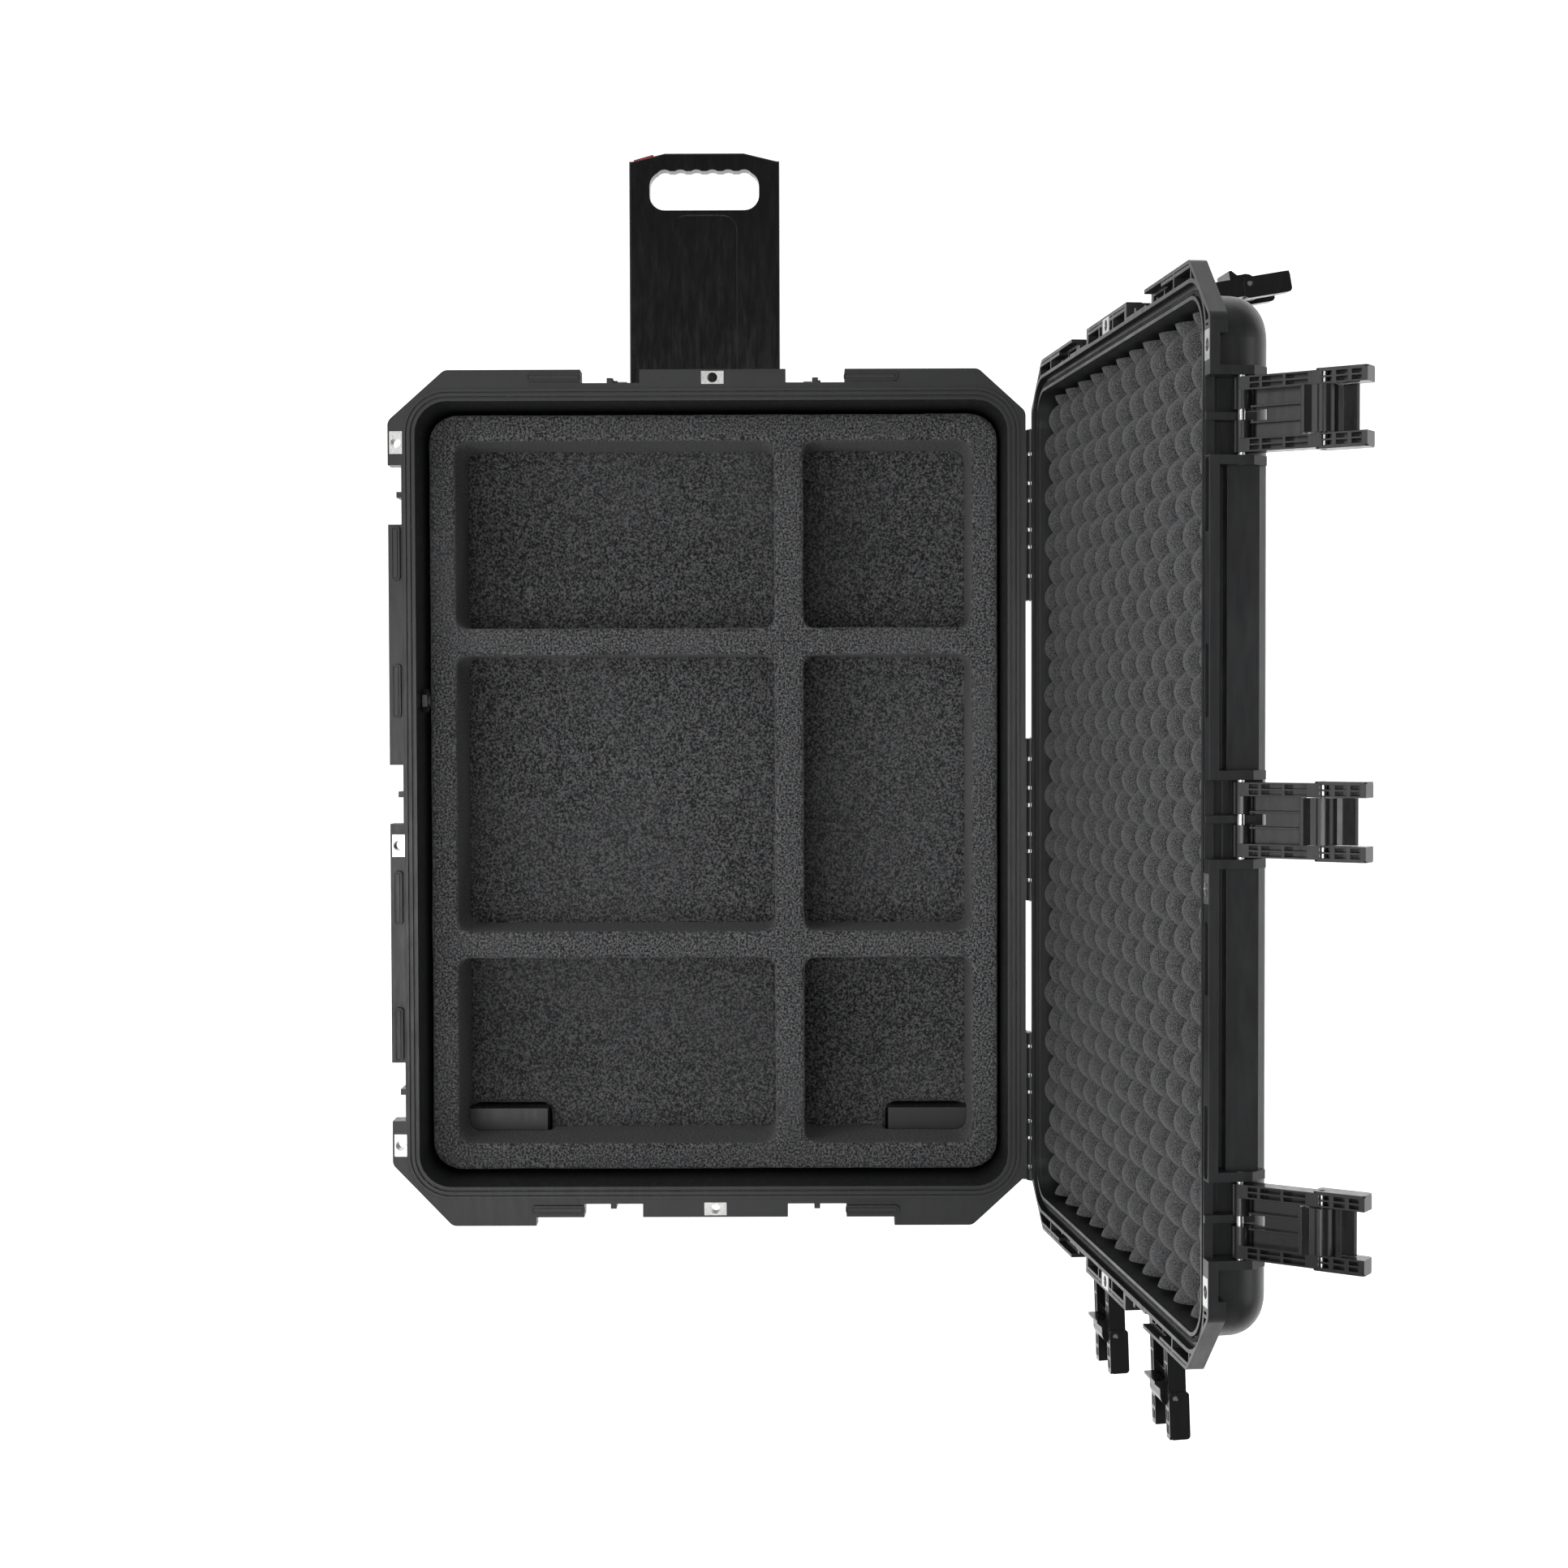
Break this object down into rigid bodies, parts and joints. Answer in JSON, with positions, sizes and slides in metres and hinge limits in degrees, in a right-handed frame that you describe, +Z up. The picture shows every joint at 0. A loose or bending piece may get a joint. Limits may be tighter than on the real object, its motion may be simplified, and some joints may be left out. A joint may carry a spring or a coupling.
{
  "type": "wheeled hard equipment case",
  "caption": "Wheeled hard protective case lying open on its back, with a hinged lid, pocketed foam, edge latches, carry handles and a sliding pull handle.",
  "frame": {"origin": "centre of the footprint of the case body, on the floor it lies on", "axes": "+X along the length, from the pull-handle end to the wheel end; +Y from the latch side to the hinge side; +Z up"},
  "size_m": [1.1231, 0.7679, 0.8593],
  "materials": {
    "shell": "moulded black polypropylene, fine satin texture on the rims, glossier inside and on the lid",
    "latch": "glossy black moulded nylon",
    "steel": "stainless steel plate and pin",
    "foam": "charcoal open-cell polyurethane foam",
    "seal": "soft black neoprene cord",
    "handle": "glossy black moulded handle",
    "button": "glossy red moulded push button",
    "grip": "soft black overmoulded rubber",
    "tyre": "black polyurethane tyre",
    "hub": "dark grey nylon hub",
    "valve": "black moulded valve cap",
    "bearing": "plain bearing steel"
  },
  "bodies": {
    "base": {"base_shell": "shell", "base_padlock_plates": "steel", "foam_floor_pad": "foam", "foam_pocket_block": "foam", "hinge_pins": "steel", "handle_channel_cover": "shell", "cover_screws": "steel", "valve_gasket": "seal", "valve_body": "valve", "valve_nut": "valve", "wheel_axles": "steel", "carry_handle_pins": "steel"},
    "lid": {"lid_shell": "shell", "lid_padlock_plates": "steel", "lid_seal": "seal", "lid_foam": "foam", "latch_pivot_pins": "steel"},
    "lever_front_left": {"lever_front_left": "latch", "trigger_pin_front_left": "steel"},
    "trigger_front_left": {"trigger_front_left": "latch"},
    "lever_front_centre": {"lever_front_centre": "latch", "trigger_pin_front_centre": "steel"},
    "trigger_front_centre": {"trigger_front_centre": "latch"},
    "lever_front_right": {"lever_front_right": "latch", "trigger_pin_front_right": "steel"},
    "trigger_front_right": {"trigger_front_right": "latch"},
    "lever_handle_end_front": {"lever_handle_end_front": "latch", "trigger_pin_handle_end_front": "steel"},
    "trigger_handle_end_front": {"trigger_handle_end_front": "latch"},
    "lever_handle_end_rear": {"lever_handle_end_rear": "latch", "trigger_pin_handle_end_rear": "steel"},
    "trigger_handle_end_rear": {"trigger_handle_end_rear": "latch"},
    "lever_wheel_end_front": {"lever_wheel_end_front": "latch", "trigger_pin_wheel_end_front": "steel"},
    "trigger_wheel_end_front": {"trigger_wheel_end_front": "latch"},
    "lever_wheel_end_rear": {"lever_wheel_end_rear": "latch", "trigger_pin_wheel_end_rear": "steel"},
    "trigger_wheel_end_rear": {"trigger_wheel_end_rear": "latch"},
    "handle": {"pull_handle": "handle", "bolt_spring": "steel"},
    "button": {"handle_button": "button", "button_rod": "steel"},
    "lock_bolt": {"lock_bolt": "handle"},
    "wheel_front": {"wheel_tyre_front": "tyre", "wheel_hub_front": "hub", "wheel_bearings_front": "bearing"},
    "wheel_rear": {"wheel_tyre_rear": "tyre", "wheel_hub_rear": "hub", "wheel_bearings_rear": "bearing"},
    "carry_front_left": {"carry_bail_front_left": "handle", "carry_grip_front_left": "grip"},
    "carry_front_right": {"carry_bail_front_right": "handle", "carry_grip_front_right": "grip"},
    "carry_handle_end": {"carry_bail_handle_end": "handle", "carry_grip_handle_end": "grip"}
  },
  "joints": [
    {"name": "lid_hinge", "type": "hinge", "parent": "base", "child": "lid", "pos_m": [0, 0.298, 0.2151], "axis": [-1, 0, 0], "range_deg": [-96.3, 0]},
    {"name": "lever_front_left_pivot", "type": "hinge", "parent": "lid", "child": "lever_front_left", "pos_m": [-0.2805, 0.38506, 0.8041], "axis": [-1, 0, 0], "range_deg": [-140, 35]},
    {"name": "trigger_front_left_pivot", "type": "hinge", "parent": "lever_front_left", "child": "trigger_front_left", "pos_m": [-0.2805, 0.43498, 0.83739], "axis": [1, 0, 0], "range_deg": [0, 20], "stiffness_Nm_per_rad": 0.2, "springref_deg": -5.73},
    {"name": "lever_front_centre_pivot", "type": "hinge", "parent": "lid", "child": "lever_front_centre", "pos_m": [-0.0015, 0.38506, 0.8041], "axis": [-1, 0, 0], "range_deg": [-140, 35]},
    {"name": "trigger_front_centre_pivot", "type": "hinge", "parent": "lever_front_centre", "child": "trigger_front_centre", "pos_m": [-0.0015, 0.43498, 0.83739], "axis": [1, 0, 0], "range_deg": [0, 20], "stiffness_Nm_per_rad": 0.2, "springref_deg": -5.73},
    {"name": "lever_front_right_pivot", "type": "hinge", "parent": "lid", "child": "lever_front_right", "pos_m": [0.2775, 0.38506, 0.8041], "axis": [-1, 0, 0], "range_deg": [-140, 35]},
    {"name": "trigger_front_right_pivot", "type": "hinge", "parent": "lever_front_right", "child": "trigger_front_right", "pos_m": [0.2775, 0.43498, 0.83739], "axis": [1, 0, 0], "range_deg": [0, 20], "stiffness_Nm_per_rad": 0.2, "springref_deg": -5.73},
    {"name": "lever_handle_end_front_pivot", "type": "hinge", "parent": "lid", "child": "lever_handle_end_front", "pos_m": [-0.392, 0.36278, 0.60233], "axis": [0, -0.1097, -0.994], "range_deg": [-170, 5]},
    {"name": "trigger_handle_end_front_pivot", "type": "hinge", "parent": "lever_handle_end_front", "child": "trigger_handle_end_front", "pos_m": [-0.40242, 0.42152, 0.59585], "axis": [0, 0.1097, 0.994], "range_deg": [0, 20], "stiffness_Nm_per_rad": 0.2, "springref_deg": -5.73},
    {"name": "lever_handle_end_rear_pivot", "type": "hinge", "parent": "lid", "child": "lever_handle_end_rear", "pos_m": [-0.392, 0.34182, 0.41248], "axis": [0, -0.1097, -0.994], "range_deg": [-170, 5]},
    {"name": "trigger_handle_end_rear_pivot", "type": "hinge", "parent": "lever_handle_end_rear", "child": "trigger_handle_end_rear", "pos_m": [-0.40242, 0.40056, 0.406], "axis": [0, 0.1097, 0.994], "range_deg": [0, 20], "stiffness_Nm_per_rad": 0.2, "springref_deg": -5.73},
    {"name": "lever_wheel_end_front_pivot", "type": "hinge", "parent": "lid", "child": "lever_wheel_end_front", "pos_m": [0.392, 0.36278, 0.60233], "axis": [0, 0.1097, 0.994], "range_deg": [-92, 83]},
    {"name": "trigger_wheel_end_front_pivot", "type": "hinge", "parent": "lever_wheel_end_front", "child": "trigger_wheel_end_front", "pos_m": [0.45196, 0.36486, 0.6021], "axis": [0, -0.1097, -0.994], "range_deg": [0, 20], "stiffness_Nm_per_rad": 0.2, "springref_deg": -5.73},
    {"name": "lever_wheel_end_rear_pivot", "type": "hinge", "parent": "lid", "child": "lever_wheel_end_rear", "pos_m": [0.392, 0.34182, 0.41248], "axis": [0, 0.1097, 0.994], "range_deg": [-92, 83]},
    {"name": "trigger_wheel_end_rear_pivot", "type": "hinge", "parent": "lever_wheel_end_rear", "child": "trigger_wheel_end_rear", "pos_m": [0.45196, 0.34391, 0.41225], "axis": [0, -0.1097, -0.994], "range_deg": [0, 20], "stiffness_Nm_per_rad": 0.2, "springref_deg": -5.73},
    {"name": "handle_slide", "type": "slide", "parent": "base", "child": "handle", "axis": [-1, 0, 0], "range_m": [-0.243, 0]},
    {"name": "button_press", "type": "slide", "parent": "handle", "child": "button", "axis": [1, 0, 0], "range_m": [0, 0.004], "stiffness_N_per_m": 400, "springref_m": -0.001},
    {"name": "lock_bolt_slide", "type": "slide", "parent": "handle", "child": "lock_bolt", "axis": [0, 1, 0], "range_m": [0, 0.0026]},
    {"name": "wheel_front_spin", "type": "hinge", "parent": "base", "child": "wheel_front", "pos_m": [0.3557, -0.208, 0.036], "axis": [0, 1, 0], "continuous": true},
    {"name": "wheel_rear_spin", "type": "hinge", "parent": "base", "child": "wheel_rear", "pos_m": [0.3557, 0.208, 0.036], "axis": [0, 1, 0], "continuous": true},
    {"name": "carry_front_left_pivot", "type": "hinge", "parent": "base", "child": "carry_front_left", "pos_m": [-0.141, -0.2898, 0.129], "axis": [-1, 0, 0], "range_deg": [0, 95]},
    {"name": "carry_front_right_pivot", "type": "hinge", "parent": "base", "child": "carry_front_right", "pos_m": [0.138, -0.2898, 0.129], "axis": [-1, 0, 0], "range_deg": [0, 95]},
    {"name": "carry_handle_end_pivot", "type": "hinge", "parent": "base", "child": "carry_handle_end", "pos_m": [-0.3888, 0.0015, 0.129], "axis": [0, 1, 0], "range_deg": [0, 95]}
  ],
  "couplings": [
    {"joint": "lock_bolt_slide", "follows": "button_press", "ratio": 0.6}
  ]
}
